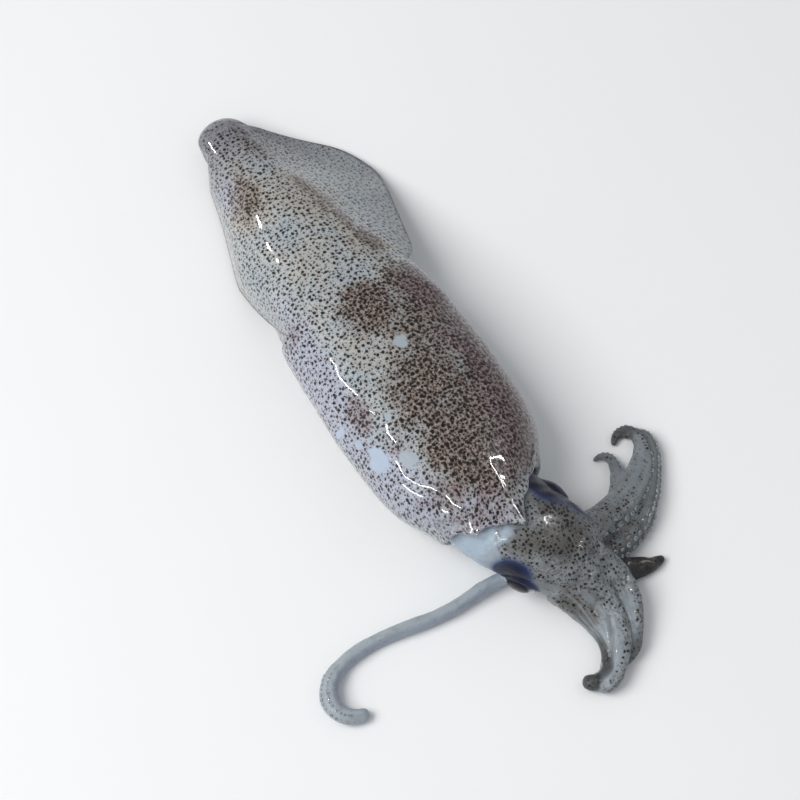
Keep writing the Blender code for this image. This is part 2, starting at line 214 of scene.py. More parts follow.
# Coloured zones on the mantle: X, degrees from straight up, half-length, half-breadth
# and strength.
ZONES = {
    "brown": (
        (82.5, 0, 9.5, 8, 1),
        (97, 16, 12, 8.5, 0.75),
        (112, 6, 16, 13, 0.95),
        (129, 6, 15, 13, 1),
        (86, 36, 14, 10, 0.8),
        (122, 38, 22, 12, 0.9),
        (112, -20, 12, 5, 0.45),
        (140, -25, 9, 12, 0.35),
        (16, 42, 14, 5, 0.55),
        (46, 44, 18, 4, 0.6),
        (29, -36, 10, 6, 0.6),
        (36, 46, 9, 3, 0.85),
        (63, 44, 6, 4, 0.95),
    ),
    "wine": (
        (84, 52, 12, 9, 0.9),
        (104, 54, 16, 11, 1),
        (124, 50, 15, 11, 1),
        # on the far flank this zone is real wine colour and also painted shade on that side
        (112, 74, 30, 12, 1),
        (136, 32, 8, 8, 0.8),
        (105, -47, 7, 4, 0.75),
        (116, -38, 7, 4, 0.6),
        (134, -36, 9, 7, 0.6),
        (143, -10, 6, 9, 0.5),
        (52, 48, 16, 4, 0.45),
        (74, -64, 5, 5, 0.6),
    ),
    "warm": (
        (40, 30, 20, 9, 0.9),
        (31, -36, 15, 8, 1),
        (62, 40, 14, 8, 0.8),
        (66, -8, 18, 9, 0.5),
        (92, -12, 10, 9, 0.7),
    ),
    "lilac": (
        (90, -66, 34, 9, 1),
        (126, -58, 18, 9, 1),
        (144, -30, 9, 12, 0.8),
        (26, -58, 8, 5, 0.8),
        (59, 50, 4, 3, 1),
    ),
}
# Between which values each zone's ragged border lies.
ZONE_BORDERS = {"brown": (0.1, 0.95), "wine": (0.15, 1.05), "warm": (0.1, 1.0), "lilac": (0.1, 0.9)}
# Bare skin without dots: X, degrees, half-length, half-breadth, and 1 for milky blue or
# 0 for greyish.
BARE_PATCHES = (
    (117.5, -56, 3.6, 3.2, 1),
    (122.8, -37, 2.6, 2.2, 0.3),
    (95.4, 4, 2.2, 2, 0.3),
    (104.3, -74, 1.2, 2.6, 1),
    (110.4, -64, 1.6, 1.5, 0.8),
    (134, -28, 2, 1.3, 0.2),
    (110.5, -31, 1.2, 1.1, 0.2),
)
LOBE_SPOT = (148.0, 2.3, 26.8, 1.7)  # a dark spot at the lobe's point: X, Y, Z and radius

SEAM_WIDTH = 0.5  # the groove between two limbs that lie together
SEAM_DEPTH = 0.45
LID_HEIGHT = 1.3  # the skin covers the eye above this height over its middle,
LID_ARCH = 0.11  # lower by this times the square of the distance along the head
# Dark navy: the eyes' colour showing through the skin, and on the head's left, beside the mantle's
# edge, also painted shade: X, Y, Z and radius.
NAVY_PLACES = (
    (144.5, 13, 18, 7.5),
    (150, 15.5, 13.5, 7),
    (157.5, -5.5, 13, 6.6),
    (160.5, -4.5, 9.5, 5),
)
# Darker, densely dotted skin on the head: X, Y and radius.
HEAD_ZONES = (
    (171, 1.8, 4.2),
    (175.5, 4.8, 3.6),
    (153, -1.5, 4),
    (156.5, 4.5, 4.5),
    (159, 10.5, 6),
    (149.5, 11.5, 5),
)
# Stretches of limbs darkened with painted shade: the share where it starts, and how much.
SHADED_LIMBS = (
    ("arm_left_2", -0.1, 0.36),
    ("arm_left_2", 0.6, 0.55),
    ("arm_left_3", -0.1, 0.36),
    ("arm_left_3", 0.68, 0.85),
    ("arm_left_4", 0.0, 0.7),
    ("arm_right_4", 0.25, 1.2),
    ("arm_right_2", 0.62, 0.95),
    ("arm_right_3", 0.4, 1.0),
    ("tentacle_left", 0.4, 0.95),
    ("arm_left_1", 0.66, 0.65),
)
BACK_DOTTED = ("arm_left_2", "arm_left_3", "arm_left_4")  # arms with dots all over their tops

# Pupil and iris, in degrees from the eye's axis.
PUPIL = 33.0
IRIS = 58.0

# Camera: looks down on the back from the head's left.
VIEW_AZIMUTH = 57.0
VIEW_ELEVATION = 65.0
VIEW_DISTANCE = 0.7
VIEW_LENS = 122.0
VIEW_TARGET = (0.004, 0.004, 0.012)
FLOOR_HALF = 2.5
FLOOR_DROP = 0.0002  # below the surface, so that the flat belly stands clear of it

# Light: the sky's colour and strength, and the key's size, distance and power.
SKY = (0.93, 0.965, 1.0, 1.0)
SKY_STRENGTH = 0.43
KEY_SIZE = 0.7
KEY_DISTANCE = 1.1
KEY_POWER = 8.9
# Narrow lights that are only mirrored in the wet film: direction, direction of the
# length, length, width and power.
GLINT_DISTANCE = 0.8
GLINTS = {
    "tail": ((-0.86, -0.40, 0.31), (0.4, 0.1, 0.9), 0.035, 0.03, 0.6),
    "flank_back": ((-0.424, -0.643, 0.638), (0.19, 0.04, 0.16), 0.23, 0.014, 1.5),
    "flank_front": ((0.08, -0.72, 0.63), (0.61, 0.18, 0.13), 0.52, 0.012, 2.6),
    "flank_low": ((0.16, -0.857, 0.435), (0.43, 0.12, 0.07), 0.34, 0.02, 2.8),
    "lobe_left": ((0.2255, 0.6165, 0.735), (0.05, 0.23, -0.21), 0.3, 0.014, 1.8),
    "lobe_right": ((0.2445, 0.461, 0.85), (0.087, -0.084, 0.019), 0.16, 0.022, 1.4),
}


# ---- Curves and outlines ----


def smooth_step(value):
    value = min(max(value, 0.0), 1.0)
    return value * value * (3 - 2 * value)


def steps(values):
    """The smooth step of an array."""
    values = np.clip(values, 0.0, 1.0)
    return values * values * (3 - 2 * values)


def curve_through(stations, column):
    """A smooth function through a table's first column and the given one."""
    xs = np.array([row[0] for row in stations], float)
    ys = np.array([row[column] for row in stations], float)
    slopes = np.gradient(ys, xs)

    def value(x):
        x = min(max(x, xs[0]), xs[-1])
        i = min(int(np.searchsorted(xs, x, side="right")) - 1, len(xs) - 2)
        span = xs[i + 1] - xs[i]
        t = (x - xs[i]) / span
        start, end = ys[i], ys[i + 1]
        pull = slopes[i] * span * t * (1 - t) ** 2 - slopes[i + 1] * span * t * t * (1 - t)
        return float(start + (end - start) * smooth_step(t) + pull)

    return value


half_width_share = curve_through(MANTLE_PROFILE, 1)
height_share = curve_through(MANTLE_PROFILE, 2)
fin_share = curve_through(FIN_PROFILE, 1)
head_stations = [(i / (len(HEAD_SPINE) - 1), *row) for i, row in enumerate(HEAD_SPINE)]
head_curves = [curve_through(head_stations, column) for column in range(1, 6)]


def body_size(x):
    """Half-width, height and sideways place of the mantle at x."""
    past_tip = min(x / TAIL_ROUND, 1.0)
    end = math.sqrt(max(1 - (1 - past_tip) ** 2, 0.0))
    half_width = MANTLE_WIDTH / 2 * half_width_share(x) * end
    height = MANTLE_HEIGHT * height_share(x) * end
    middle = TAIL_BEND * (1 - min(x / 70, 1.0)) ** 2
    return half_width, height, middle


def body_point(x, angle, wall=0.0):
    """Y and Z of the mantle's outline, the angle in degrees from straight up to the left."""
    half_width, height, middle = body_size(x)
    a = math.radians(angle)
    y = middle + (half_width - wall) * math.sin(a)
    reach = height / 2 - wall
    centre = MANTLE_HEIGHT * height_share(x) / 2
    down = reach + (BELLY_FLAT if wall == 0 else 0)
    z = centre + (reach if math.cos(a) > 0 else down) * math.cos(a)
    return y, max(z, wall)


def fin_root(x, fin):
    """Y, Z and downward slope in degrees of the body where the fin's upper face starts."""
    angle = fin.side * fin.root + ROLL
    half_width, height, _ = body_size(x)
    a = math.radians(abs(angle))
    slope = math.degrees(math.atan2(height / 2 * math.sin(a), half_width * math.cos(a)))
    return *body_point(x, angle), slope


def fin_spread(x, fin):
    """Width of the fin from root to edge; one that tucks in ends where it meets the surface."""
    spread = fin.width * max(fin_share(min(x / fin.length, 1.0)), 0.0)
    spread *= 1 - fin.taper * smooth_step((x / fin.length - 0.45) / 0.4)
    if not fin.tucks:
        return spread
    _, z, slope = fin_root(x, fin)
    start, end = math.radians(slope), math.radians(slope + fin.droop)
    drop_per_mm = (math.cos(start) - math.cos(end)) / (end - start)
    return min(spread, max(z - FIN_THICK, 0.0) / drop_per_mm)


def fin_thickness(share):
    return FIN_THICK + (FIN_THIN - FIN_THICK) * share**5


def flap_path(x, fin, share):
    """Y, Z and slope of the fin's upper face, from its root at 0 to its edge at 1."""
    y, z, slope = fin_root(x, fin)
    slope *= fin.ease
    length = fin_spread(x, fin) * share / FLAP_STEPS
    lean = math.radians(slope)
    for i in range(FLAP_STEPS):
        part = share * (i + 0.5) / FLAP_STEPS
        lean = math.radians(slope + fin.droop * part)
        room = max(z - fin_thickness(part) - 0.1, 0.001)
        drop = length * math.sin(lean)
        drop = min(drop, room) if fin.tucks else room * (1 - math.exp(-drop / room))
        if length > 0:
            lean = math.asin(drop / length)
        y += fin.side * length * math.cos(lean)
        z -= drop
    return y, z, math.degrees(lean)


def flap_angle(fin, share, upper):
    """Where a point of the fin would lie on a body without fins, in degrees to its side."""
    around = share / 2 if upper else 1 - share / 2
    return fin.side * (fin.root + (fin.under - fin.root) * around)


def flap_point(x, fin, share, upper):
    """A point of the fin: X, Y and Z, on its upper or lower face."""
    spread = fin_spread(x, fin)
    body_y, body_z = body_point(x, flap_angle(fin, share, upper) + ROLL)
    y, z, slope = flap_path(x, fin, share)
    if not upper:
        y -= fin.side * fin_thickness(share) * math.sin(math.radians(slope))
        z -= fin_thickness(share) * math.cos(math.radians(slope))
        under_y, under_z = body_point(x, fin.side * fin.under + ROLL)
        blend = share**0.6
        y = under_y + (y - under_y) * blend
        z = under_z + (z - under_z) * blend
    grown = smooth_step(spread / 4)
    front = smooth_step((x / fin.length - 0.55) / 0.4)
    forward = fin.lobe * front * share * smooth_step(spread / 6)
    y = body_y + (y - body_y) * grown
    z = body_z + (z - body_z) * grown
    return (x + forward, y, max(z, 0.0))


def edge_offset(angle):
    """How far the mantle's edge stands forward of its sides, by degrees from the back."""
    angle = (angle - ROLL + 180) % 360 - 180
    lobe_end, hollow = LOBE_LEFT if angle > 0 else LOBE_RIGHT
    angle = abs(angle)
    lobe = (MANTLE_LENGTH - RIM_X) * max(1 - angle / lobe_end, 0.0) ** hollow
    side = SIDE_POINT * math.exp(-(((angle - SIDE_POINT_ANGLE) / SIDE_POINT_SPREAD) ** 2))
    return lobe + side


def along_head(share):
    """Middle, heading, half-width and half-height of the head, from neck 0 to crown 1."""
    x, y, z, half_width, half_height = (curve(share) for curve in head_curves)
    ahead, behind = min(share + 0.02, 1.0), max(share - 0.02, 0.0)
    dx, dy = (curve(ahead) - curve(behind) for curve in head_curves[:2])
    return np.array((x, y, z)), math.atan2(dy, dx), half_width, half_height


def level_axes(heading):
    """Directions along a heading and to its left."""
    return (
        np.array((math.cos(heading), math.sin(heading), 0.0)),
        np.array((-math.sin(heading), math.cos(heading), 0.0)),
    )


def arm_radius(share):
    return ARM_TIP_RADIUS + (ARM_RADIUS - ARM_TIP_RADIUS) * (1 - share) ** 0.7 + LIMB_EXTRA


def tentacle_radius(share):
    club = (share - 1 + CLUB_SHARE) / CLUB_SHARE
    if club <= 0:
        return STALK_RADIUS + LIMB_EXTRA
    swell = math.sin(math.pi * club * 0.8) ** 0.8
    narrow = STALK_RADIUS + (ARM_TIP_RADIUS - STALK_RADIUS) * club
    return narrow + (CLUB_RADIUS - STALK_RADIUS) * swell + LIMB_EXTRA


def eye_place(side, along, height):
    """Middle of an eye, and the directions along the head there and to its left."""
    middle, heading, half_width, _ = along_head(along)
    ahead, across = level_axes(heading)
    place = middle + across * side * (half_width - EYE_INSET)
    place[2] = height
    return place, ahead, across


def frame_shift():
    """From the tail tip's millimetres to the frame: the eye's box says where it stands."""
    low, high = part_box("eye_right")
    place = eye_place(*EYES["eye_right"])[0]
    middle = (low + high) / 2
    return np.array((middle.x - place[0] * MM, middle.y - place[1] * MM, 0.0))


SHIFT = frame_shift()


# ---- Meshes ----


def tube_faces(rows, around, first=0):
    """Quads between rows of points, closed round each row, numbered from first."""
    i, j = np.meshgrid(np.arange(rows - 1), np.arange(around), indexing="ij")
    following = (j + 1) % around
    here, there = i * around, (i + 1) * around
    quads = np.stack((here + j, here + following, there + following, there + j), axis=-1)
    return (quads.reshape(-1, 4) + first).tolist()


def fan_faces(first, around, middle, flip):
    """Triangles from a ring of points, numbered from first, to a middle one."""
    ring = [first + k for k in range(around)]
    pairs = zip(ring, ring[1:] + ring[:1])
    return [(b, a, middle) if flip else (a, b, middle) for a, b in pairs]


def new_piece(name, points, faces):
    """A smooth mesh object from points in millimetres."""
    mesh = bpy.data.meshes.new(name)
    mesh.from_pydata((np.asarray(points) * MM + SHIFT).tolist(), [], faces)
    mesh.update()
    mesh.shade_smooth()
    piece = bpy.data.objects.new(name, mesh)
    bpy.context.scene.collection.objects.link(piece)
    return piece


def vectors_of(piece, kind):
    flat = np.zeros(len(piece.data.vertices) * 3)
    piece.data.vertices.foreach_get(kind, flat)
    return flat.reshape(-1, 3)


def points_of(piece):
    """A piece's points in millimetres."""
    return (vectors_of(piece, "co") - SHIFT) / MM


def normals_of(piece):
    return vectors_of(piece, "normal")


def set_points(piece, points):
    piece.data.vertices.foreach_set("co", (points * MM + SHIFT).ravel())
    piece.data.update()


def set_values(piece, **marks):
    """Numbers on each point, for the piece's material to read by their names."""
    for name, values in marks.items():
        layer = piece.data.attributes.new(name, "FLOAT", "POINT")
        layer.data.foreach_set("value", np.ascontiguousarray(values, np.float32))


def blurred(piece, values, rounds):
    """Values at a piece's points, averaged with their neighbours a few times over."""
    edges = np.zeros(2 * len(piece.data.edges), int)
    piece.data.edges.foreach_get("vertices", edges)
    one, other = edges[0::2], edges[1::2]
    count = len(values)
    near = 1 + np.bincount(one, minlength=count) + np.bincount(other, minlength=count)
    for _ in range(rounds):
        total = values + np.bincount(one, values[other], count)
        total += np.bincount(other, values[one], count)
        values = total / near
    return values


def waves(points, *layers):
    """Soft relief: the sum of smooth noise of each length and height."""
    total = np.zeros(len(points))
    for length, height in layers:
        total += height * np.array([noise.noise(Vector(p) / length) for p in points])
    return total


def distance(points, place):
    return np.linalg.norm(points - place, axis=1)


def directions(away):
    """Unit vectors, but shorter than that where the given ones are next to nothing."""
    return away / np.maximum(np.linalg.norm(away, axis=1), 1e-6)[:, None]


# ---- The mantle ----


def outline_arc(x):
    """Length along the mantle's outline from the middle of its back, by degrees, 0 to 180."""
    angles = np.arange(0, 181, 3.0)
    arcs = {}
    for side in (1, -1):
        outline = np.array([body_point(x, ROLL + side * a) for a in angles])
        lengths = np.hypot(*np.diff(outline, axis=0).T)
        arcs[side] = np.concatenate(((0.0,), np.cumsum(lengths)))
    return lambda angle, side: side * float(np.interp(abs(angle), angles, arcs[side]))


def mantle_ring(x, wall=0.0, forward=0.0, reach=None):
    """One ring of the mantle's skin, fins included, in order round the body.

    Each row has X, Y, Z, the share of the fin's width, and the skin's own sideways
    measure as the faces before and after the point read it: it jumps at a fin's edge and
    under the belly.
    """
    if reach is None:
        reach = smooth_step((x - 98) / (RIM_X - 98))
    arc = outline_arc(x)
    ring = []

    def body(angle, before=None):
        after = arc(angle, 1 if angle >= 0 else -1)
        before = after if before is None else before
        ahead = x + reach * edge_offset(angle + ROLL) + forward
        ring.append((ahead, *body_point(x, angle + ROLL, wall), 0.0, before, after))

    def flap(fin, shares, upper):
        spread = fin_spread(x, fin)
        for i, share in enumerate(shares):
            if spread <= 0:
                body(flap_angle(fin, share, upper))
                continue
            above = arc(fin.root, fin.side) + fin.side * spread * share
            below = arc(fin.under, fin.side) - fin.side * spread * share
            after, other = (above, below) if upper else (below, above)
            before = other if i == 0 and share == 1.0 else after
            grown = share * smooth_step(spread / 4)
            ring.append((*flap_point(x, fin, share, upper), grown, before, after))

    outward = [1 - (1 - i / FLAP_POINTS) ** 1.5 for i in range(FLAP_POINTS)]
    inward = [1.0] + outward[:0:-1]
    for i in range(TOP_POINTS):
        body(LEFT_FIN.root * (2 * i / TOP_POINTS - 1))
    flap(LEFT_FIN, outward, True)
    flap(LEFT_FIN, inward, False)
    around = 360 - LEFT_FIN.under - RIGHT_FIN.under
    passed = False
    for i in range(BELLY_POINTS):
        angle = LEFT_FIN.under + around * i / BELLY_POINTS
        if angle <= 180:
            body(angle)
        else:
            body(angle - 360, None if passed else arc(180, 1) + 0.5)
            passed = True
    flap(RIGHT_FIN, outward, False)
    flap(RIGHT_FIN, inward, True)
    return np.array(ring)


def mantle_rings():
    """All rings, from the tail tip to the bottom of the pocket round the neck."""
    length = RIM_X - TAIL_ROUND
    count = round(length / RING_STEP)
    bends = [math.radians(i * 6) for i in range(1, TAIL_RINGS + 1)]
    rings = [mantle_ring(TAIL_ROUND * (1 - math.cos(bend))) for bend in bends]
    rings += [mantle_ring(TAIL_ROUND + length * i / count) for i in range(count + 1)]
    for i in range(1, EDGE_RINGS + 1):
        turn = math.radians(i * 180 / (EDGE_RINGS + 1))
        wall = RIM_WALL / 2 * (1 - math.cos(turn)) * 0.75
        rings.append(mantle_ring(RIM_X, wall, 0.8 * math.sin(turn)))
    for i in range(POCKET_RINGS):
        share = i / (POCKET_RINGS - 1)
        wall = RIM_WALL * (0.75 + 0.25 * share)
        rings.append(mantle_ring(RIM_X - share * POCKET_DEPTH, wall, 0.0, 1 - share))
    return rings


def zone(points, x, angle, half_length, half_breadth):
    """How far each point lies from a place on the mantle: 0 in its middle, 1 at its edge."""
    away = points - (x, *body_point(x, angle))
    return np.linalg.norm(away / (half_length, half_breadth, half_breadth), axis=1)


def soft_zones(points, table):
    value = np.zeros(len(points))
    for *place, strength in table:
        value = np.maximum(value, strength * steps(1.4 - zone(points, *place)))
    return value


def mark_mantle(piece, points, share, rim, off):
    """The numbers that the skin's material reads."""
    bare, milky = np.full(len(points), -1.0), np.zeros(len(points))
    for *place, milk in BARE_PATCHES:
        near = 1 - zone(points, *place)
        milky = np.where(near > bare, milk, milky)
        bare = np.maximum(bare, near)
    x, y, _ = points.T
    *spot, radius = LOBE_SPOT
    set_values(
        piece,
        **{name: soft_zones(points, table) for name, table in ZONES.items()},
        bare=bare,
        milky=milky,
        tail=steps((30 - x) / 26) * 0.9,
        fin=steps((share - 0.15) / 0.6) * np.where(y > 0, 1.0, 0.25),
        edge=steps((share - 0.93) / 0.07),
        rim=rim,
        spot=0.85 * steps(1.3 - distance(points, spot) / radius),
        off=np.maximum(off, steps((9 - x) / 3)),
    )


def stretched(points, faces, corners):
    """1 at points where the skin's own measure is far from true lengths, 0 where it fits."""
    quads = np.array(faces)
    flat = corners.reshape(-1, 4, 2)
    worst = np.zeros(len(quads))
    for a, b in ((0, 1), (1, 2), (2, 3), (3, 0), (0, 2), (1, 3)):
        true = np.linalg.norm(points[quads[:, a]] - points[quads[:, b]], axis=1) + 0.02
        drawn = np.linalg.norm(flat[:, a] - flat[:, b], axis=1) + 0.02
        worst = np.maximum(worst, np.abs(np.log(true / drawn)))
    value = steps((worst - 0.16) / 0.16)
    total, count = np.zeros(len(points)), np.zeros(len(points))
    for k in range(4):
        np.add.at(total, quads[:, k], value)
        np.add.at(count, quads[:, k], 1)
    return total / np.maximum(count, 1)


def skin_measure(table, rows, around):
    """Each quad's corners in the skin's own millimetres, sideways round it and along it."""
    x, before, after = (table[:, column].reshape(rows, around) for column in (0, 4, 5))
    cap = TAIL_ROUND * np.arccos(np.clip(1 - x / TAIL_ROUND, 0, 1))
    along = np.where(x < TAIL_ROUND, cap, x + TAIL_ROUND * (math.pi / 2 - 1))
    last = (np.roll(before, -1, axis=1), np.roll(along, -1, axis=1))
    here, following = np.stack((after, along), -1), np.stack(last, -1)
    return np.stack((here[:-1], following[:-1], following[1:], here[1:]), axis=2).reshape(-1, 2)


def shape_mantle(piece, points, share, outside):
    """Moves the skin into soft relief, and draws its edge in towards the neck."""
    x, y, z = points.T
    lift = waves(points, *MANTLE_WAVES)
    for place_x, angle, radius, depth in DENTS:
        lift -= depth * np.exp(-zone(points, place_x, angle, radius, radius) ** 2 * 2.5)
    free = steps((z - 1.0) / 5.0) * (1 - share**2 * 0.8) * outside
    moved = points + normals_of(piece) * (lift * free)[:, None]
    towards = np.stack((np.zeros(len(points)), y, z - MANTLE_HEIGHT * 0.42), axis=1)
    towards /= np.maximum(np.linalg.norm(towards, axis=1), 1.0)[:, None]
    moved -= towards * (RIM_CURL * steps((x - RIM_X + 9) / 12) * steps(z / 6))[:, None]
    moved[:, 0] += waves(points, (6.0, 1.5)) * steps((x - RIM_X + 4) / 6) * steps(z / 9)
    ripple = waves(points, (9.0, 1.0)) * 0.5 * share**2
    moved[:, 2] = np.maximum(moved[:, 2] + ripple * steps((z - 1.0) / 4.0), 0.0)
    set_points(piece, moved)


def make_mantle():
    rings = mantle_rings()
    rows, around = len(rings), len(rings[0])
    table = np.concatenate(rings)
    first, last = rings[0][:, :3].mean(axis=0), rings[-1][:, :3].mean(axis=0)
    first[0] = 0.0
    points = np.vstack((table[:, :3], first, last))
    faces = tube_faces(rows, around)
    fans = fan_faces(0, around, rows * around, True)
    fans += fan_faces((rows - 1) * around, around, rows * around + 1, False)
    piece = new_piece("mantle_skin", points, faces + fans)
    corners = skin_measure(table, rows, around)
    off = stretched(points, faces, corners)
    off[-2:] = 1.0
    corners = np.vstack((corners, np.zeros((len(fans) * 3, 2))))
    skin = piece.data.uv_layers.new(name="skin")
    skin.data.foreach_set("uv", corners.astype(np.float32).ravel())

    points = points_of(piece)
    share = np.concatenate((table[:, 3], (0.0, 0.0)))
    row = np.concatenate((np.repeat(np.arange(rows), around), (0, rows)))
    shape_mantle(piece, points, share, row < rows - EDGE_RINGS - POCKET_RINGS)
    rim = steps((row - (rows - POCKET_RINGS - RIM_RINGS)) / 4.0)
    mark_mantle(piece, points, share, rim, off)
    return piece


# ---- The head ----


def limb_route(name, limb, radius_at, count):
    """Rows of X, Y, Z, heading, share and radius; its tip curls."""
    swell = curve_through(LIMB_SWELLS.get(name, EVEN), 1)
    quarters = [(i / (len(limb.headings) - 1), h) for i, h in enumerate(limb.headings)]
    heading_at = curve_through(quarters, 1)
    turn = math.radians(CROWN_HEADING)
    x = CROWN[0] - limb.side * math.sin(turn)
    y = CROWN[1] + limb.side * math.cos(turn)
    step = limb.length / (count - 1)
    table = []
    for i in range(count):
        share = i / (count - 1)
        radius = radius_at(share) * swell(share)
        down = radius + limb.rest * (1 - share) ** 0.7
        fall = 1 - smooth_step(share / ARM_FALL)
        height = down + (limb.height - down) * fall
        curled = max(share - 1 + CURL_SHARE, 0.0) / CURL_SHARE
        heading = math.radians(heading_at(share) + limb.curl * curled**1.5)
        table.append((x, y, height, heading, share, radius))
        x += step * math.cos(heading)
        y += step * math.sin(heading)
    return np.array(table)


def limb_girth(turn):
    """The limb's cross-section by the angle from its sucker side: flat there, keeled behind."""
    turn = (turn + 180) % 360 - 180
    flat = 0.16 * math.exp(-((turn / 30) ** 2))
    fringe = 0.12 * math.exp(-(((abs(turn) - 52) / 14) ** 2))
    keel = 0.14 * math.exp(-(((abs(turn) - 180) / 24) ** 2))
    return 1 - flat + fringe + keel


def limb_rings(name, route):
    around = [360 * k / LIMB_SIDES for k in range(LIMB_SIDES)]
    girths = np.array([limb_girth(turn) for turn in around])
    turns = np.array([math.radians(LIMBS[name].suckers + turn) for turn in around])
    rings = []

    def ring(place, heading, radius):
        right = -level_axes(heading)[1]
        out = np.outer(np.cos(turns), right) + np.outer(np.sin(turns), UP)
        rings.append(place + out * (radius * girths)[:, None])

    plump = 0.0 if name in TENTACLES else LIMB_PLUMP
    for *place, heading, share, radius in route:
        ring(np.array(place), heading, radius * (1 + plump * math.sin(math.pi * share)))
    ahead = level_axes(heading)[0]
    for degrees in (20, 40, 60, 80):
        a = math.radians(degrees)
        ring(np.array(place) + ahead * radius * math.sin(a), heading, radius * math.cos(a))
    return rings


def oval(middle, across, sides, half_width, half_height):
    """A ring of points that stands upright, from one side over the top."""
    turns = np.linspace(0, 2 * math.pi, sides, endpoint=False)
    return (
        middle
        + np.outer(np.cos(turns), across) * half_width
        + np.outer(np.sin(turns), UP) * half_height
    )


def head_rings():
    rings = []
    for i in range(HEAD_SPANS + 1):
        share = i / HEAD_SPANS
        middle, heading, half_width, half_height = along_head(share)
        ahead, across = level_axes(heading)
        narrow = 0.85 + 0.15 * smooth_step(share / 0.1)
        rings.append(oval(middle, across, HEAD_SIDES, half_width * narrow, half_height * narrow))
    for degrees in (12, 24, 36, 48, 60):
        a = math.radians(degrees)
        narrow = 0.5 + 0.5 * math.cos(a)
        place = middle + ahead * HEAD_END_ROUND * math.sin(a)
        rings.append(oval(place, across, HEAD_SIDES, half_width * narrow, half_height * narrow))
    return rings


def funnel_rings():
    """A tube with a hollow mouth."""
    length = FUNNEL_END - FUNNEL_START
    across = level_axes(math.atan2(length[1], length[0]))[1]
    root, tip = FUNNEL_RADII
    shares = [i / FUNNEL_SPANS for i in range(FUNNEL_SPANS + 1)]
    sizes = [(share, root + (tip - root) * share) for share in shares]
    sizes += [(share, tip - thick) for share, thick in FUNNEL_MOUTH]
    return [
        oval(FUNNEL_START + length * share, across, FUNNEL_SIDES, radius * FUNNEL_FLAT, radius)
        for share, radius in sizes
    ]


def web_rings(first, second, reach):
    """A thin skin between two arms' routes, its free edge drawn in between them."""
    rings = []
    for i in range(WEB_SPANS + 1):
        across = i / WEB_SPANS
        end = reach * (1 - 0.45 * math.sin(math.pi * across))
        rows = [round(end * j / WEB_ROWS * (len(first) - 1)) for j in range(WEB_ROWS + 1)]
        line = first[rows, :3] + (second[rows, :3] - first[rows, :3]) * across
        radius = first[rows, 5] * (1 - across) + second[rows, 5] * across
        top, low = (line + np.outer(radius * side, UP) for side in WEB_SIDES)
        rings.append(np.concatenate((top, low[::-1])))
    return rings


def melted_tubes(name, tubes):
    """A piece of overlapping tubes, joined into one skin with soft creases between them."""
    points, faces = [], []
    for rings in tubes:
        first, around, count = len(points), len(rings[0]), len(rings) * len(rings[0])
        points.extend(np.concatenate(rings).tolist())
        points.append(rings[0].mean(axis=0).tolist())
        points.append(rings[-1].mean(axis=0).tolist())
        faces += tube_faces(len(rings), around, first)
        faces += fan_faces(first, around, first + count, True)
        faces += fan_faces(first + count - around, around, first + count + 1, False)
    piece = new_piece(name, points, faces)
    remesh = piece.modifiers.new("remesh", "REMESH")
    remesh.mode = "VOXEL"
    remesh.voxel_size = HEAD_VOXEL * MM
    soften = piece.modifiers.new("soften", "SMOOTH")
    soften.factor = 0.5
    soften.iterations = 7
    bpy.context.view_layer.update()
    melted = piece.evaluated_get(bpy.context.evaluated_depsgraph_get())
    mesh = bpy.data.meshes.new_from_object(melted)
    piece.modifiers.clear()
    piece.data = mesh
    mesh.shade_smooth()
    return piece


def limb_measures(points, routes):
    """For each point: the nearest limb's number, share along it, facing, and seam.

    The facing is 1 opposite the suckers and -1 on their side.  The seam is 1 where the
    point is as near to a second limb's skin, and fades beside that line.
    """
    apart = np.zeros((len(routes), len(points)))
    rows = np.zeros((len(routes), len(points)), int)
    for number, route in enumerate(routes.values()):
        for start in range(0, len(points), BATCH):
            some = slice(start, start + BATCH)
            away = np.linalg.norm(points[some, None, :] - route[None, :, :3], axis=2)
            away -= route[None, :, 5]
            rows[number, some] = away.argmin(axis=1)
            apart[number, some] = away.min(axis=1)
    number = apart.argmin(axis=0)
    place = np.array([routes[LIMB_NAMES[n]][rows[n, i]] for i, n in enumerate(number)])
    side = np.radians([LIMBS[LIMB_NAMES[n]].suckers for n in number])
    heading, share = place[:, 3], place[:, 4]
    toward = (np.sin(heading) * np.cos(side), -np.cos(heading) * np.cos(side), np.sin(side))
    facing = -(directions(points - place[:, :3]) * np.stack(toward, axis=1)).sum(axis=1)
    first, second = np.sort(apart, axis=0)[:2]
    seam = np.exp(-(((second - first) / SEAM_WIDTH) ** 2)) * steps((1.0 - second) / 0.6)
    return number, share, facing, seam * steps((share - 0.1) / 0.15)


def on_limbs(number, names):
    """Where the nearest limb is one of those named."""
    return np.isin(number, [LIMB_NAMES.index(name) for name in names])


def eye_measures(points, row):
    """Places in an eye's own directions, and how far they are out in eye radii."""
    place, ahead, across = eye_place(*row)
    away = points - place
    local = np.stack((away @ ahead, away @ (across * row[0]), away[:, 2]), axis=1)
    return local, np.linalg.norm(local / EYE_RADII, axis=1)


def eyelid_shift(points, row):
    """Skin over the top of an eye stands out to its dome; below that it opens round the eye."""
    local, far = eye_measures(points, row)
    place, _, across = eye_place(*row)
    outer = steps((local[:, 1] + 0.5) / 1.5)
    covered = steps((local[:, 2] - LID_HEIGHT + LID_ARCH * local[:, 0] ** 2) / 0.9)
    reach = np.maximum(1.09 - far, 0.0) / np.maximum(far, 0.3)
    over = (points - place) * (reach * covered * outer)[:, None]
    rim = 0.45 * np.exp(-(((far - 1.12) / 0.12) ** 2)) * (1 - covered) * outer
    sunk = 2.4 * steps((1.02 - far) / 0.12) * (1 - covered) * outer
    return over + across * row[0] * (rim - sunk)[:, None]


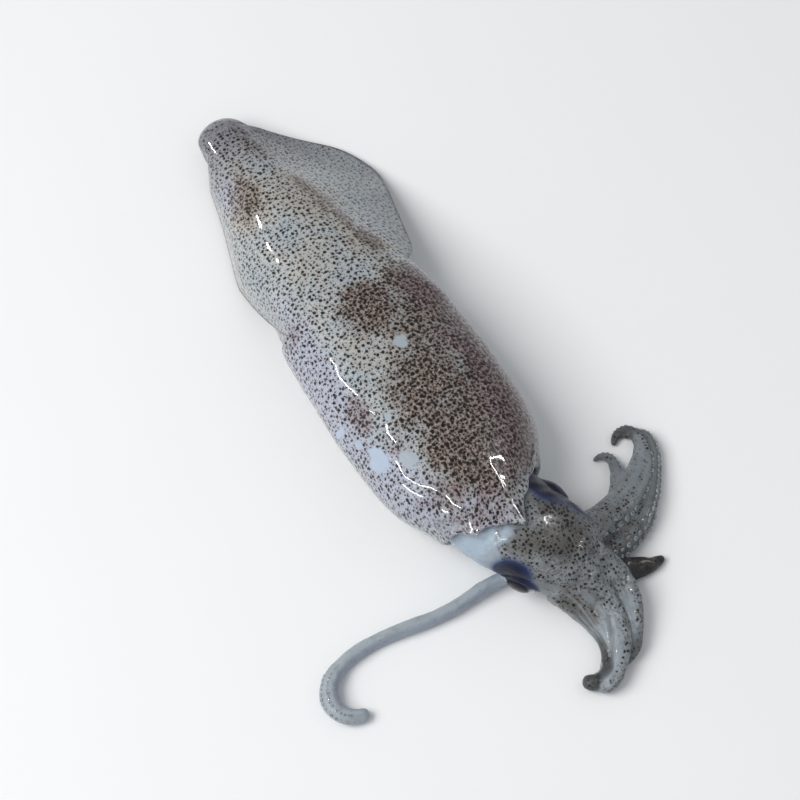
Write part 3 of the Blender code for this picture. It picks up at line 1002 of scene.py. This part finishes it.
def dotted_head(points, up, number, share, facing):
    """How densely the skin is dotted: 1 on the head's top, in strips along the arms."""
    limb = steps((share - 0.1) / 0.25)
    on_head = steps((up + 0.15) / 0.8) * steps((points[:, 0] - 141) / 8)
    on_arm = steps((facing - 0.15) / 0.6) * (1 - 0.3 * share)
    back = np.maximum(on_arm, steps((up - 0.1) / 0.6) * 0.85)
    on_arm = np.where(on_limbs(number, BACK_DOTTED), back, on_arm)
    on_arm = np.maximum(on_arm, steps((up - 0.2) / 0.6) * steps((0.62 - share) / 0.3))
    strips = waves(np.stack((number * 5.1, facing * 1.6, share * 2.0), axis=1), (1.0, 1.0))
    strips = np.where(on_limbs(number, ("arm_left_1",)), 1.0, strips)
    on_arm = on_arm * (0.3 + 0.7 * steps((strips + 0.12) / 0.2))
    dots = on_head * (1 - limb) + on_arm * limb
    return dots * np.where(on_limbs(number, TENTACLES) & (share > 0.08), 0.15, 1.0)


def mark_head(piece, points, routes, crease):
    """The numbers that the head's material reads."""
    number, share, facing, _ = limb_measures(points, routes)
    x, y, _ = points.T
    up = normals_of(piece)[:, 2]
    limb = steps((share - 0.1) / 0.25)
    is_tentacle = on_limbs(number, TENTACLES)
    navy, shade, cluster = np.zeros((3, len(points)))
    for *place, radius in NAVY_PLACES:
        navy = np.maximum(navy, steps(1.25 - distance(points, place) / radius))
    # painted shade along the listed stretches of limbs
    for name, start, strength in SHADED_LIMBS:
        dark = strength * steps((share - start) / 0.2) * on_limbs(number, (name,))
        shade = np.maximum(shade, dark)
    for *place, radius in HEAD_ZONES:
        cluster = np.maximum(cluster, steps(1.4 - distance(points[:, :2], place) / radius))
    dots = dotted_head(points, up, number, share, facing)
    set_values(
        piece,
        dots=blurred(piece, dots, 2),
        navy=navy,
        bare_neck=steps((153.5 + 0.25 * (y + 8) - x) / 5) * steps((3.0 - y) / 8),
        sucker_side=steps((-facing - 0.1) / 0.6) * limb,
        arm=limb * (1 - is_tentacle),
        tentacle=is_tentacle * steps(share / 0.1),
        # painted shade: darker where the skin faces down or sideways, away from the light above
        under=steps((0.42 - up) / 0.8),
        shade=blurred(piece, shade, 4),
        cluster=cluster * steps((up + 0.15) / 0.8),
        # painted shade: the creases and seams between limbs are darkened
        crease=crease,
    )


def head_relief(points, routes):
    """How far the skin stands out in waves and folds, and how deep it lies in a crease; the crease
    also serves as painted shade in the head's material.
    """
    x, y, z = points.T
    lift = waves(points, (9.0, 0.30), (2.6, 0.10))
    lift += 0.06 * np.sin(2 * math.pi * (x - 0.3 * y) / 3.3) * steps((156 - x) / 6)
    turn = math.radians(CROWN_HEADING)
    ahead = x * math.cos(turn) + y * math.sin(turn)
    aside = y * math.cos(turn) - x * math.sin(turn)
    folded = steps((x - 152) / 8) * steps((186 - x) / 10)
    grooves = np.stack((ahead / 11.0, aside / 2.1, z / 3.0), axis=1)
    lift += waves(grooves, (1.0, 0.4)) * folded
    number, share, facing, seam = limb_measures(points, routes)
    fold = waves(np.stack((number * 7.3, facing * 1.9, share * 2.4), axis=1), (1.0, 1.0))
    crease = np.exp(-((fold / 0.07) ** 2)) * folded
    crease = crease * steps((share - 0.02) / 0.1) * steps((0.7 - share) / 0.2)
    lift -= 0.3 * crease + SEAM_DEPTH * seam
    return lift * steps((z - 0.6) / 2.5), np.maximum(crease, 0.8 * seam)


def make_head():
    routes = {name: limb_route(name, arm, arm_radius, ARM_ROWS) for name, arm in ARMS.items()}
    for name, limb in TENTACLES.items():
        routes[name] = limb_route(name, limb, tentacle_radius, TENTACLE_ROWS)
    tubes = [head_rings(), funnel_rings()]
    tubes += [limb_rings(name, route) for name, route in routes.items()]
    tubes += [web_rings(routes[first], routes[second], reach) for first, second, reach in WEBS]
    piece = melted_tubes("head_skin", tubes)
    points = points_of(piece)
    lift, crease = head_relief(points, routes)
    moved = points + normals_of(piece) * lift[:, None]
    for row in EYES.values():
        moved += eyelid_shift(points, row)
    moved[:, 2] = np.maximum(moved[:, 2], 0.0)
    set_points(piece, moved)
    mark_head(piece, moved, routes, crease)
    return piece, routes


# ---- Suckers ----


def sucker_shape():
    """A small cup in its own frame: a ring of flesh round a hollow, Z out of the arm."""
    turns = [2 * math.pi * k / SUCKER_SIDES for k in range(SUCKER_SIDES)]
    points = [
        (radius * math.cos(a), radius * math.sin(a), height)
        for radius, height in SUCKER_PROFILE
        for a in turns
    ]
    count = len(points)
    faces = tube_faces(len(SUCKER_PROFILE), SUCKER_SIDES)
    faces += fan_faces(count - SUCKER_SIDES, SUCKER_SIDES, count, False)
    return points + [(0, 0, 0)], faces


def sucker_size(name, share):
    if name in TENTACLES:
        club = (share - 1 + CLUB_SHARE) / CLUB_SHARE
        return 0.34 * math.sin(math.pi * club * 0.8 + 0.3) + 0.1
    return SUCKER_RADII[0] + (SUCKER_RADII[1] - SUCKER_RADII[0]) * share**1.5


def make_suckers(head, routes):
    """Two rows along every arm and on the clubs, seated on the melted skin."""
    corners = [tuple(p) for p in points_of(head)]
    skin = BVHTree.FromPolygons(corners, [tuple(f.vertices) for f in head.data.polygons])
    cup, cup_faces = sucker_shape()
    points, faces = [], []

    def seat(row, suckers, size):
        *place, heading, _, radius = row
        right = Vector((math.sin(heading), -math.cos(heading), 0))
        side = math.radians(suckers)
        out = right * math.cos(side) + Vector((0, 0, 1)) * math.sin(side)
        place, normal, _, away = skin.find_nearest(Vector(place) + out * radius)
        if place is None or away > 0.9 or place.z < size * 0.9 or normal.dot(out) < 0.3:
            return
        turned = normal.to_track_quat("Z", "X").to_matrix()
        first = len(points)
        points.extend(tuple(place + turned @ (Vector(p) * size)) for p in cup)
        faces.extend(tuple(first + k for k in face) for face in cup_faces)

    for name, route in routes.items():
        share = 1 - CLUB_SHARE if name in TENTACLES else SUCKER_START
        side = 1
        while share < SUCKER_END:
            size = sucker_size(name, share)
            odd = noise.noise(Vector((share * 40, len(name), side)))
            turn = side * (SUCKER_SPREAD + 7 * odd)
            row = route[round(share * (len(route) - 1))]
            seat(row, LIMBS[name].suckers + turn, size * (1 + 0.5 * odd))
            share += size * 1.3 / LIMBS[name].length
            side = -side
    return new_piece("suckers", points, faces)


# ---- Eyes ----


def make_eye(name, row):
    """A domed eye whose grid turns round its own axis, with a lens standing a little proud."""
    place, ahead, across = eye_place(*row)
    across = across * row[0]
    points = []
    for i in range(1, EYE_ROWS):
        polar = math.pi * i / EYE_ROWS
        degrees = math.degrees(polar)
        lens = 0.3 * smooth_step((PUPIL + 4 - degrees) / 12)
        groove = 0.14 * math.exp(-(((degrees - IRIS) / 4) ** 2))
        size = np.array(EYE_RADII) - 0.05 - groove
        outward = across * (math.cos(polar) * size[1] + lens * 0.6)
        for k in range(EYE_SIDES):
            turn = 2 * math.pi * k / EYE_SIDES
            along = ahead * (math.sin(polar) * math.cos(turn)) * size[0]
            points.append(place + along + outward + UP * (math.sin(polar) * math.sin(turn)) * size[2])
    points.append(place + across * (EYE_RADII[1] - 0.05 + 0.18))
    points.append(place - across * (EYE_RADII[1] - 0.05))
    count = (EYE_ROWS - 1) * EYE_SIDES
    faces = tube_faces(EYE_ROWS - 1, EYE_SIDES)
    faces += fan_faces(0, EYE_SIDES, count, True)
    faces += fan_faces(count - EYE_SIDES, EYE_SIDES, count + 1, False)
    if row[0] > 0:
        faces = [tuple(reversed(face)) for face in faces]
    piece = new_piece(name + "_dome", points, faces)
    local, far = eye_measures(points_of(piece), row)
    from_axis = np.arccos(np.clip(local[:, 1] / EYE_RADII[1] / far, -1, 1))
    turn = np.arctan2(local[:, 2], local[:, 0])
    set_values(piece, from_axis=np.degrees(from_axis), turn=turn, height=local[:, 2])
    return piece


# ---- Materials ----


def srgb(red, green, blue):
    """A display colour of 0 to 255 as the linear one that a shader takes."""
    linear = []
    for value in (red, green, blue):
        value /= 255
        linear.append(value / 12.92 if value <= 0.04045 else ((value + 0.055) / 1.055) ** 2.4)
    return (*linear, 1.0)


class Output:
    """What a node gives, open to sums and products that add further nodes."""

    def __init__(self, look, socket):
        self.look = look
        self.socket = socket

    def __add__(self, other):
        return self.look.maths("ADD", self, other)

    def __sub__(self, other):
        return self.look.maths("SUBTRACT", self, other)

    def __mul__(self, other):
        return self.look.maths("MULTIPLY", self, other)

    __radd__ = __add__
    __rmul__ = __mul__


class Look:
    """Builds one material: each method adds a node and returns its output."""

    def __init__(self, name):
        self.material = bpy.data.materials.new(name)
        self.material.use_nodes = True
        self.tree = self.material.node_tree
        self.shader = self.tree.nodes["Principled BSDF"]

    def feed(self, socket, value):
        if isinstance(value, Output):
            self.tree.links.new(value.socket, socket)
        else:
            socket.default_value = value

    def give(self, kind, outputs, inputs=(), **settings):
        """The named output of a new node, or a list of them for a tuple of names."""
        node = self.tree.nodes.new("ShaderNode" + kind)
        for key, value in settings.items():
            setattr(node, key, value)
        for key, value in dict(inputs).items():
            self.feed(node.inputs[key], value)
        if isinstance(outputs, tuple):
            return [Output(self, node.outputs[key]) for key in outputs]
        return Output(self, node.outputs[outputs])

    def set(self, **inputs):
        for name, value in inputs.items():
            self.feed(self.shader.inputs[name.replace("_", " ")], value)

    def value(self, name):
        return self.give("Attribute", "Fac", attribute_name=name)

    def maths(self, operation, a, b, clamp=False):
        return self.give("Math", 0, {0: a, 1: b}, operation=operation, use_clamp=clamp)

    def vectors(self, operation, **inputs):
        keyed = {{"a": 0, "b": 1}.get(key, key): value for key, value in inputs.items()}
        return self.give("VectorMath", 0, keyed, operation=operation)

    def without(self, a):
        return self.maths("SUBTRACT", 1.0, a, clamp=True)

    def between(self, value, low, high, kind="LINEAR"):
        """0 at low and 1 at high, clamped; low may be the greater."""
        inputs = {"Value": value, "From Min": low, "From Max": high}
        return self.give("MapRange", "Result", inputs, interpolation_type=kind)

    def soft(self, value, low, high):
        return self.between(value, low, high, "SMOOTHSTEP")

    def mix(self, share, a, b):
        """The colour a where share is 0 and b where it is 1; tuples are display colours."""
        a, b = (srgb(*colour) if isinstance(colour, tuple) else colour for colour in (a, b))
        return self.give("Mix", 2, {0: share, 6: a, 7: b}, data_type="RGBA")

    def layered(self, colour, *coats):
        """A colour with others laid over it in turn, each with its share."""
        for share, over in coats:
            colour = self.mix(share, colour, over)
        return colour

    def blend(self, share, a, b):
        """The number a where share is 0 and b where it is 1."""
        return self.give("Mix", 0, {0: share, 2: a, 3: b}, data_type="FLOAT")

    def place(self):
        """Object coordinates in millimetres."""
        return self.vectors("SCALE", a=self.give("TexCoord", "Object"), Scale=1000.0)

    def noise(self, place, length, detail=2.0):
        """Smooth noise of about 0.5 on average, its features about the given length apart."""
        inputs = {"Vector": place, "Scale": 1.0 / length, "Detail": detail, "Roughness": 0.55}
        return self.give("TexNoise", "Fac", inputs)

    def shaken(self, place):
        """Coordinates moved about by noise, so that round things come out uneven."""
        colour = self.give("TexNoise", "Color", {"Vector": place, "Scale": 1.0})
        centred = self.vectors("SUBTRACT", a=colour, b=(0.5, 0.5, 0.5))
        return self.vectors("ADD", a=place, b=self.vectors("SCALE", a=centred, Scale=0.5))

    def dots(self, place, spacing, radius, softness, dimensions):
        """1 inside dots about spacing apart, uneven round the given radius, and how far off."""
        inputs = {"Vector": place, "Scale": 1.0 / spacing, "Randomness": 0.72}
        kind, outputs = "TexVoronoi", ("Distance", "Color")
        away, colour = self.give(kind, outputs, inputs, voronoi_dimensions=dimensions)
        away = away * spacing
        odd = self.give("SeparateColor", 0, {0: colour})
        size = radius * (odd * 0.7 + 0.62)
        return self.soft(away, size, self.maths("SUBTRACT", size, softness)), away

    def bump(self, height, distance):
        inputs = {"Height": height, "Distance": distance * MM, "Strength": 1.0}
        return self.give("Bump", "Normal", inputs)


def wet(look, place, fine, subsurface, film=1.0):
    """The smooth film of water over all of the skin, and the flesh's soft depth below it."""
    broad = look.noise(place, 6.0, 1.0)
    look.set(
        Roughness=0.36,
        IOR=1.4,
        Specular_IOR_Level=0.2,
        Coat_Weight=film,
        Coat_Roughness=0.05,
        Coat_IOR=1.3,
        Subsurface_Weight=subsurface,
        Subsurface_Scale=0.0012,
        Subsurface_Radius=(1.0, 0.85, 0.8),
        Normal=look.bump(fine + broad, 0.25),
        Coat_Normal=look.bump(broad, 0.07),
    )
    return look.material


def mantle_ground(look, place, broad, zones, open_skin):
    """The skin's colour under the dots."""
    grain = look.between(look.noise(place, 0.75), 0.42, 0.72)
    return look.layered(
        look.mix(look.between(broad, 0.35, 0.65), (168, 178, 186), (182, 186, 186)),
        (zones["warm"] * 0.6, (176, 166, 152)),
        (zones["lilac"] * 0.8, (180, 184, 202)),
        (zones["brown"] * 0.72, (132, 118, 108)),
        (zones["wine"] * 0.72, (134, 116, 121)),
        (look.value("fin") * 0.6, (146, 152, 158)),
        (look.value("tail") * 0.85, (112, 110, 124)),
        (grain * (0.2 + open_skin * 0.35), (98, 84, 78)),
    )


def mantle_dots(look, place, ground, wine, open_skin, covered):
    """Three layers of pigment sacs, the largest nearly black, and pale specks between.

    They follow the skin's own measure, and plain space where that is stretched.
    """
    flat = look.shaken(look.give("UVMap", "UV", uv_map="skin"))
    space = look.shaken(place)
    off = look.between(look.value("off"), 0.3, 0.7)
    fin = look.value("fin")
    quiet = look.without(fin * 0.22)

    def sacs(spacing, radius):
        on_skin = look.dots(flat, spacing, radius, 0.12, "2D")
        in_space = look.dots(space, spacing * 0.8, radius, 0.12, "3D")
        return [look.blend(off, a, b) for a, b in zip(on_skin, in_space)]

    fine, _ = sacs(0.78, 0.21 + open_skin * 0.12)
    middle, _ = sacs(1.08, (0.285 + open_skin * 0.12) * quiet)
    radius = (0.4 + open_skin * 0.05) * quiet
    large, away = sacs(1.52, radius)
    halo = look.soft(away, radius + 0.5, radius)
    speck, _ = look.dots(flat, 1.45, 0.3, 0.2, "2D")
    return look.layered(
        ground,
        (halo * ((0.2 + open_skin * 0.3) * covered), (104, 84, 70)),
        (fine * ((0.36 + open_skin * 0.5) * covered), look.mix(wine, (76, 56, 46), (84, 50, 60))),
        (middle * ((0.78 + open_skin * 0.18) * covered), look.mix(wine, (36, 28, 24), (46, 26, 33))),
        (large * ((0.95 + fin * -0.25) * covered), (11, 9, 11)),
        (speck * (open_skin * 0.55 * look.without(large)), (190, 176, 168)),
    )


def mantle_look():
    look = Look("mantle_skin")
    place = look.place()
    broad = look.noise(place, 11.0)
    patchy = look.noise(place, 3.2, 4.0)
    zones = {}
    for name, (low, high) in ZONE_BORDERS.items():
        broken = look.value(name) + (patchy - 0.5) * 0.9 + (broad - 0.5) * 0.9
        zones[name] = look.soft(broken, low, high)
    open_skin = look.maths("MAXIMUM", zones["brown"], zones["wine"] * 0.85)
    bare = look.soft(look.value("bare") + (patchy - 0.5) * 1.7, -0.12, 0.3)
    rim = look.value("rim")
    covered = look.without(bare) * look.without(rim * 0.6)
    ground = mantle_ground(look, place, broad, zones, open_skin)
    skin = look.layered(
        mantle_dots(look, place, ground, zones["wine"], open_skin, covered),
        (bare * 0.9, look.mix(look.value("milky"), (160, 168, 173), (176, 190, 209))),
        (rim * 0.5, (168, 172, 178)),
        (look.value("edge") * 0.8, (84, 70, 80)),
        (look.value("spot"), (44, 30, 42)),
    )
    look.set(Base_Color=skin)
    return wet(look, place, look.noise(place, 2.4) * 0.9 + look.noise(place, 0.7) * 0.22, 0.08)


def head_ground(look, broad, patchy, neck, cluster):
    """The colour of the head and arms under the dots, with painted shade on undersides, creases and
    shaded limbs.
    """
    tentacle = look.value("tentacle")
    mottle = look.between(patchy, 0.48, 0.75) * (0.25 + look.value("dots") * 0.5)
    return look.layered(
        look.mix(look.between(broad, 0.35, 0.65), (114, 118, 121), (150, 157, 162)),
        (look.value("arm") * 0.6, (158, 168, 176)),
        (tentacle, (154, 164, 177)),
        (look.value("sucker_side") * 0.5, (170, 178, 180)),
        # painted shade on skin that faces down or sideways
        (look.value("under") * look.without(tentacle) * 0.7, (88, 94, 96)),
        (neck, (168, 183, 198)),
        # painted shade in the creases and seams
        (look.value("crease") * 0.45, (84, 84, 82)),
        # painted shade on the shaded stretches of limbs
        (look.value("shade") * 0.85, (40, 43, 43)),
        (mottle, (98, 94, 86)),
        (cluster * 0.55, (80, 74, 68)),
    )


def head_look():
    look = Look("head_skin")
    place = look.place()
    broad = look.noise(place, 8.0)
    patchy = look.noise(place, 2.6, 3.0)
    neck = look.soft(look.value("bare_neck") + (patchy - 0.5) * 0.8, 0.2, 0.8)
    cluster = look.soft(look.value("cluster") + (patchy - 0.5) * 0.9, 0.1, 0.9) * look.without(neck)
    shown = look.soft(look.value("dots") + (broad - 0.5) * 0.9, 0.15, 0.85) * look.without(neck)
    shaken = look.shaken(place)
    fine, _ = look.dots(shaken, 0.68, 0.13 + shown * 0.12, 0.1, "3D")
    swelled = 0.2 + (shown * 0.15 + cluster * 0.09)
    large, away = look.dots(shaken, 1.02, swelled, 0.1, "3D")
    blue = look.soft(look.value("navy") + (broad - 0.5) * 0.3, 0.0, 1.0)
    skin = look.layered(
        head_ground(look, broad, patchy, neck, cluster),
        (look.soft(away, 0.8, 0.3) * (shown * 0.35), (92, 82, 74)),
        (fine * (shown * 0.7), (58, 50, 46)),
        (large * (0.25 + shown * 0.7), (26, 24, 26)),
        # navy of the eyes under the skin, partly painted shade beside the mantle's edge
        (look.between(blue, 0.0, 0.5), look.mix(blue, (56, 72, 114), (8, 12, 38))),
    )
    look.set(Base_Color=skin)
    height = look.noise(place, 2.0) * 0.8 + look.noise(place, 0.6) * 0.25
    return wet(look, place, height, 0.22, film=0.42)


def sucker_look():
    look = Look("sucker_flesh")
    place = look.place()
    spotted = look.noise(place, 0.9, 3.0)
    flesh = look.mix(look.between(spotted, 0.4, 0.65), (160, 166, 169), (132, 139, 143))
    look.set(Base_Color=flesh)
    return wet(look, place, spotted, 0.35)


def eye_look():
    look = Look("eye")
    from_axis = look.value("from_axis")
    round_axis = {0: look.value("turn") * 3.0, 1: from_axis * 0.03}
    streaks = look.noise(look.give("CombineXYZ", 0, round_axis), 0.35)
    cloud = look.noise(look.place(), 1.6, 3.0)
    wavering = from_axis + (cloud - 0.5) * 8.0
    lidded = look.soft(look.value("height") + (cloud - 0.5) * 1.2, -0.4, 1.8)
    outer = look.layered(
        look.mix(look.between(streaks, 0.35, 0.7), (172, 182, 188), (222, 226, 224)),
        (look.between(cloud, 0.52, 0.72), (150, 112, 108)),
        (look.between(wavering, IRIS - 4, IRIS + 5), (84, 62, 72)),
        (look.between(wavering, IRIS + 4, IRIS + 16), (196, 206, 214)),
        (lidded * 0.95, (8, 13, 40)),
    )
    look.set(
        Base_Color=look.mix(look.between(wavering, PUPIL - 2, PUPIL + 4), (8, 10, 26), outer),
        Roughness=0.22,
        Coat_Weight=0.6,
        Coat_Roughness=0.03,
        Coat_IOR=1.25,
        Specular_IOR_Level=0.1,
        Normal=look.bump(streaks, 0.05),
    )
    return look.material


def floor_look():
    look = Look("pale_floor")
    tone = look.mix(look.noise(look.place(), 60.0), (246, 247, 248), (249, 249, 250))
    look.set(Base_Color=tone, Roughness=0.6)
    return look.material


# ---- Floor, light and camera ----


def make_floor():
    corners = [(x * FLOOR_HALF, y * FLOOR_HALF, 0) for x, y in ((-1, -1), (1, -1), (1, 1), (-1, 1))]
    mesh = bpy.data.meshes.new("floor")
    mesh.from_pydata(corners, [], [(0, 1, 2, 3)])
    floor = bpy.data.objects.new("floor", mesh)
    bpy.context.scene.collection.objects.link(floor)
    floor.location.z = -FLOOR_DROP
    mesh.materials.append(floor_look())


def placed(name, data, right, up, back, place):
    """A lamp or camera in the scene, facing away from its backward direction."""
    holder = bpy.data.objects.new(name, data)
    axes = Matrix((right, up, back)).transposed().to_4x4()
    holder.matrix_world = Matrix.Translation(place) @ axes
    bpy.context.scene.collection.objects.link(holder)
    return holder


def add_light(name, direction, along, length, width, power, distance, mirrored):
    """A rectangle of light that faces the squid, its length lying along the given direction.

    It is only mirrored in the wet film, or else only lights the skin.
    """
    light = bpy.data.lights.new(name, "AREA")
    light.shape = "RECTANGLE"
    light.size, light.size_y = length, width
    light.energy = power
    back = Vector(direction).normalized()
    up = back.cross(Vector(along)).normalized()
    lamp = placed(name, light, up.cross(back), up, back, back * distance)
    lamp.visible_glossy = mirrored
    lamp.visible_diffuse = not mirrored
    return light


def view_axes():
    """The camera's right, up and backward directions."""
    azimuth, elevation = math.radians(VIEW_AZIMUTH), math.radians(VIEW_ELEVATION)
    level = math.cos(elevation)
    back = Vector((math.sin(azimuth) * level, -math.cos(azimuth) * level, math.sin(elevation)))
    right = Vector((math.cos(azimuth), math.sin(azimuth), 0))
    return right, back.cross(right), back


def make_light():
    world = bpy.data.worlds.new("soft_white")
    world.use_nodes = True
    background = world.node_tree.nodes["Background"]
    background.inputs["Color"].default_value = SKY
    background.inputs["Strength"].default_value = SKY_STRENGTH
    bpy.context.scene.world = world
    right, up, back = view_axes()
    aim = (-0.6 * right + 0.2 * up + 0.8 * back, (1, 0, 0))
    key = add_light("key", *aim, KEY_SIZE, KEY_SIZE, KEY_POWER, KEY_DISTANCE, False)
    key.color = (1.0, 0.99, 0.97)
    for name, measures in GLINTS.items():
        add_light(name, *measures, GLINT_DISTANCE, True)


def make_camera():
    right, up, back = view_axes()
    camera = bpy.data.cameras.new("camera")
    camera.lens = VIEW_LENS
    camera.sensor_width = 36.0
    camera.clip_start = 0.01
    camera.dof.use_dof = False
    place = Vector(VIEW_TARGET) + back * VIEW_DISTANCE
    bpy.context.scene.camera = placed("camera", camera, right, up, back, place)
    bpy.context.scene.view_settings.view_transform = "Standard"


# ---- The whole ----


def give_look(piece, material):
    piece.data.materials.clear()
    piece.data.materials.append(material)


def main():
    mantle = make_mantle()
    give_look(mantle, mantle_look())
    head, routes = make_head()
    give_look(head, head_look())
    suckers = make_suckers(head, routes)
    give_look(suckers, sucker_look())
    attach(mantle, "root")
    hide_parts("mantle")
    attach(head, "root")
    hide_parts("head")
    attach(suckers, "root")
    silvery = eye_look()
    for name, row in EYES.items():
        eye = make_eye(name, row)
        give_look(eye, silvery)
        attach(eye, "root")
        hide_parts(name)
    make_floor()
    make_light()
    make_camera()


main()
